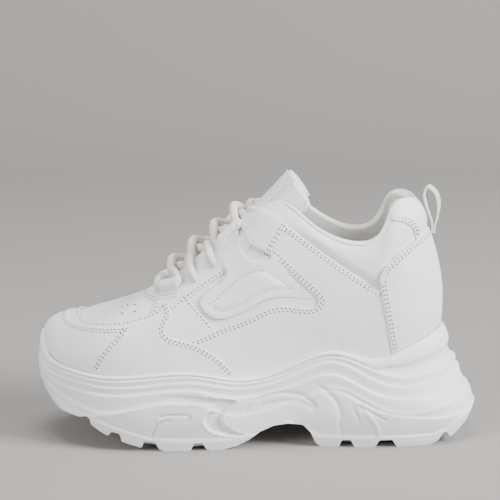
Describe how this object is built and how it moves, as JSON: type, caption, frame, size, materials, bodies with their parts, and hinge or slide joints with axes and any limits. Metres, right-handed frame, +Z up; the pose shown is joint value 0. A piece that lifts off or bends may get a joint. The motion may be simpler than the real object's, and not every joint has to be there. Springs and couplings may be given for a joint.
{
  "type": "platform sneaker",
  "caption": "Chunky white platform sneaker for the left foot: hollow lasted upper, padded tongue and collar, ridged lugged sole, wedge insole, cord laces and heel pull loop.",
  "frame": {"origin": "centre of the shoe's bounding box, on the floor that the tread stands on", "axes": "+X to the toe, +Y to the outer (lateral) side of the left foot, +Z up"},
  "size_m": [0.2836, 0.1088, 0.1715],
  "materials": {
    "sole_foam": "moulded white foam rubber, satin",
    "sole_rubber": "moulded white rubber, satin",
    "lining_mesh": "off-white spacer mesh",
    "upper_leather": "fine-grained white synthetic leather",
    "tongue_leather": "soft white synthetic leather",
    "trim_leather": "smooth white synthetic leather",
    "webbing": "white woven webbing",
    "lace_cord": "cream woven cord"
  },
  "bodies": {
    "root": {"midsole": "sole_foam", "outsole_forefoot": "sole_rubber", "outsole_heel": "sole_rubber", "insole": "lining_mesh", "upper": "upper_leather", "tongue": "tongue_leather", "pull_loop": "webbing", "front_lace_tab_outer": "trim_leather", "front_lace_tab_inner": "trim_leather", "wing_lace_tab_outer": "trim_leather", "wing_lace_tab_inner": "trim_leather", "lace_strap_outer": "trim_leather", "lace_strap_inner": "trim_leather", "laces": "lace_cord"}
  },
  "joints": []
}
